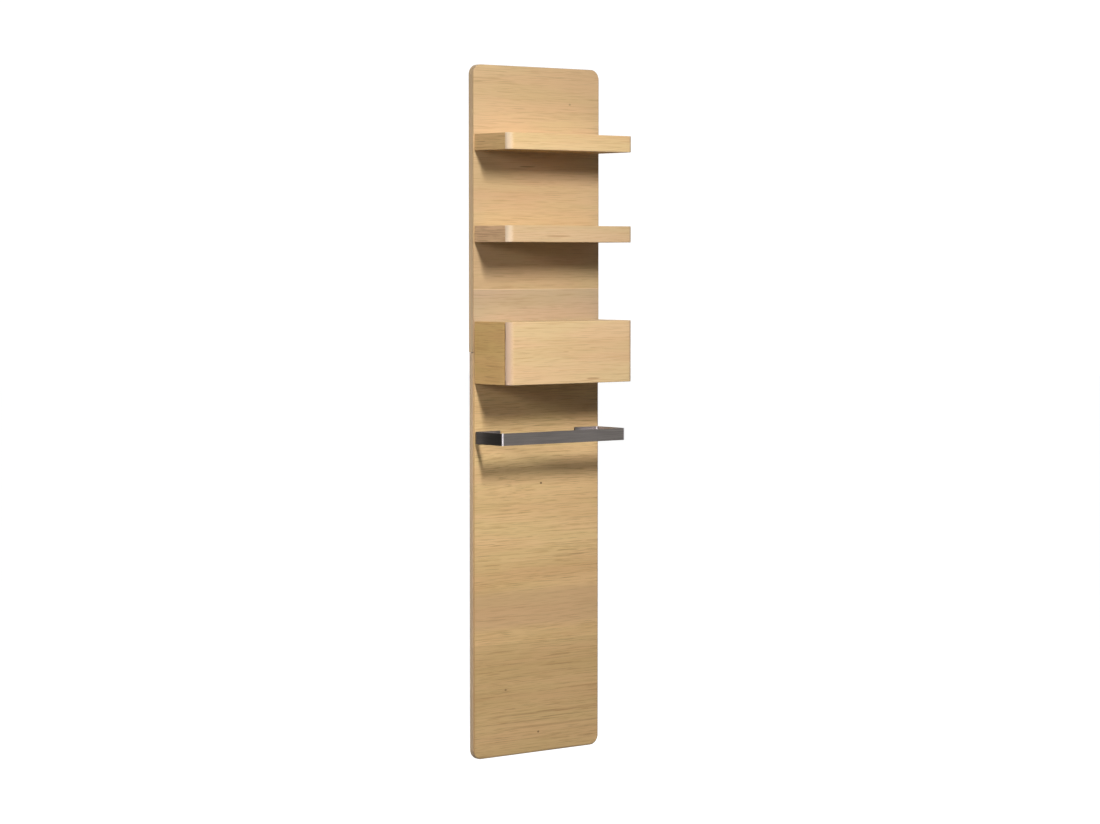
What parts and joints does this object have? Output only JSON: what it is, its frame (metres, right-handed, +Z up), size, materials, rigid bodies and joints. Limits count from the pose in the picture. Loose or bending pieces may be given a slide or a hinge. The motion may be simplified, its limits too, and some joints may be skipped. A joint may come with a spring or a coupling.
{
  "type": "column shelf",
  "caption": "Tall narrow wall-hung oak panel with floating shelves, a box with a handle-less drawer and a flat bent steel towel bar.",
  "frame": {"origin": "on the wall's face, in the middle of the line through the two keyhole plates", "axes": "+Z up along the panel, +Y into the wall, +X to the right seen from the front"},
  "size_m": [0.4, 0.155, 1.7],
  "materials": {
    "oak_panel": "matt oiled oak",
    "oak_shelf": "matt oiled oak",
    "oak_side": "matt oiled oak",
    "beech": "planed beech",
    "birch_ply": "sanded birch plywood",
    "dark_steel": "dark grey satin coat",
    "zinc_steel": "zinc plated",
    "felt": "felt"
  },
  "bodies": {
    "column": {"bar_screw_left_inner": "zinc_steel", "bar_screw_left_outer": "zinc_steel", "bar_screw_right_inner": "zinc_steel", "bar_screw_right_outer": "zinc_steel", "box_bottom": "oak_shelf", "box_left_side": "oak_side", "box_right_side": "oak_side", "box_screw_bottom_left": "zinc_steel", "box_screw_bottom_right": "zinc_steel", "box_screw_top_left": "zinc_steel", "box_screw_top_right": "zinc_steel", "box_top": "oak_shelf", "drawer_stop": "beech", "drawer_stop_screw": "zinc_steel", "felt_pad_left": "felt", "felt_pad_right": "felt", "hanger_plate_left": "zinc_steel", "hanger_plate_right": "zinc_steel", "hanger_screw_left_foot": "zinc_steel", "hanger_screw_left_head": "zinc_steel", "hanger_screw_right_foot": "zinc_steel", "hanger_screw_right_head": "zinc_steel", "lower_panel": "oak_panel", "lower_shelf_bottom": "oak_shelf", "lower_shelf_cleat": "beech", "lower_shelf_front": "oak_shelf", "lower_shelf_left": "oak_side", "lower_shelf_right": "oak_side", "lower_shelf_screw_left": "zinc_steel", "lower_shelf_screw_right": "zinc_steel", "lower_shelf_top": "oak_shelf", "runner_left": "beech", "runner_right": "beech", "runner_screw_left_front": "zinc_steel", "runner_screw_left_rear": "zinc_steel", "runner_screw_right_front": "zinc_steel", "runner_screw_right_rear": "zinc_steel", "seam_dowel_left": "beech", "seam_dowel_right": "beech", "splice_plate": "zinc_steel", "splice_screw_lower_left": "zinc_steel", "splice_screw_lower_right": "zinc_steel", "splice_screw_upper_left": "zinc_steel", "splice_screw_upper_right": "zinc_steel", "towel_bar": "dark_steel", "upper_panel": "oak_panel", "upper_shelf_bottom": "oak_shelf", "upper_shelf_cleat": "beech", "upper_shelf_front": "oak_shelf", "upper_shelf_left": "oak_side", "upper_shelf_right": "oak_side", "upper_shelf_screw_left": "zinc_steel", "upper_shelf_screw_right": "zinc_steel", "upper_shelf_top": "oak_shelf"},
    "drawer": {"drawer_front": "oak_shelf", "drawer_left_side": "birch_ply", "drawer_right_side": "birch_ply", "drawer_back": "birch_ply", "drawer_bottom": "birch_ply"}
  },
  "joints": [
    {"name": "drawer_slide", "type": "slide", "parent": "column", "child": "drawer", "axis": [0, -1, 0], "range_m": [0, 0.082]}
  ]
}
